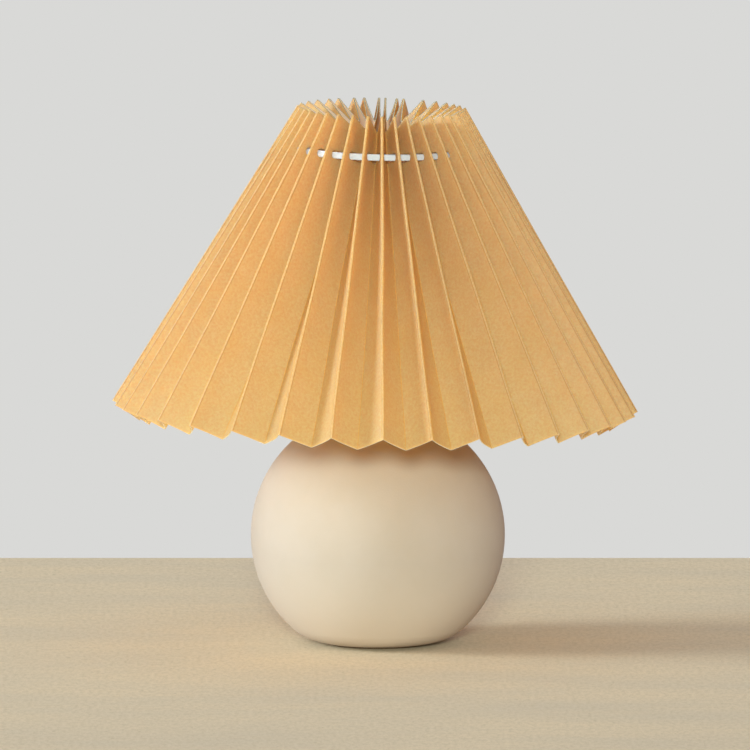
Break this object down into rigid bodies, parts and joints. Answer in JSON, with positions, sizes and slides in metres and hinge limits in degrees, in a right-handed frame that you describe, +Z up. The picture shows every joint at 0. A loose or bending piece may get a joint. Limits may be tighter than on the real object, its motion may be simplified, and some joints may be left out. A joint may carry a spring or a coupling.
{
  "type": "table lamp",
  "caption": "Small table lamp with a round ceramic ball base and an accordion-pleated paper cone shade on a threaded lampholder.",
  "frame": {"origin": "middle of the flat foot, on the surface that the lamp stands on", "axes": "+Z up along the ball, the rod and the lampholder, front is -Y, the cord inlet is at +Y, and the shade's top leans towards +X"},
  "size_m": [0.2769, 0.2769, 0.285],
  "materials": {
    "ceramic": "matte, unglazed look, slightly warm cream",
    "felt": "dark brown felt",
    "zinc_steel": "zinc plated",
    "rubber": "soft matte",
    "brass": "satin",
    "white_plastic": "moulded, satin",
    "grey_plastic": "moulded, matte",
    "white_paint": "powder coated",
    "shade_paper": "mustard fibre paper on a white lining",
    "nickel": "nickel plated, satin",
    "bulb_plastic": "moulded, glossy",
    "circuit_board": "lacquered board",
    "light_board": "white lacquered board",
    "light_chip": "phosphor yellow",
    "opal_glass": "opal, satin"
  },
  "bodies": {
    "lamp_base": {"ceramic_ball": "ceramic", "felt_pad": "felt", "base_plate": "zinc_steel", "lock_washer": "zinc_steel", "base_nut": "zinc_steel", "threaded_tube": "zinc_steel", "neck_washer": "rubber", "neck_cap": "brass", "neck_nut": "brass", "cord_grommet": "rubber", "holder_cap": "white_plastic", "holder_grub_screw": "zinc_steel", "holder_skirt": "white_plastic", "contact_block": "grey_plastic", "screw_shell": "brass", "centre_contact": "brass", "side_contact": "brass", "terminal_blocks": "brass", "terminal_screws": "zinc_steel", "lower_shade_ring": "white_plastic"},
    "shade": {"carrier_collar": "white_paint", "carrier_arms": "white_paint", "carrier_ring": "white_paint", "pleated_shade": "shade_paper"},
    "shade_ring": {"upper_shade_ring": "white_plastic"},
    "bulb_contact": {"bulb_tip_contact": "brass"},
    "bulb": {"bulb_insulator": "grey_plastic", "bulb_screw_cap": "nickel", "bulb_housing": "bulb_plastic", "driver_board": "circuit_board", "light_board": "light_board", "light_chips": "light_chip", "bulb_globe": "opal_glass"}
  },
  "joints": [
    {"name": "shade_turn", "type": "hinge", "parent": "lamp_base", "child": "shade", "pos_m": [0, 0, 0.165], "axis": [0, 0, 1], "continuous": true},
    {"name": "shade_ring_rise", "type": "slide", "parent": "lamp_base", "child": "shade_ring", "axis": [0, 0, 1], "range_m": [0, 0.012]},
    {"name": "bulb_rise", "type": "slide", "parent": "lamp_base", "child": "bulb_contact", "axis": [0, 0, 1], "range_m": [0, 0.00846]},
    {"name": "bulb_turn", "type": "hinge", "parent": "bulb_contact", "child": "bulb", "pos_m": [0, 0, 0.19], "axis": [0, 0, 1], "range_deg": [0, 1080]}
  ],
  "couplings": [
    {"joint": "bulb_rise", "follows": "bulb_turn", "m_per_rad": 0.00044882}
  ]
}
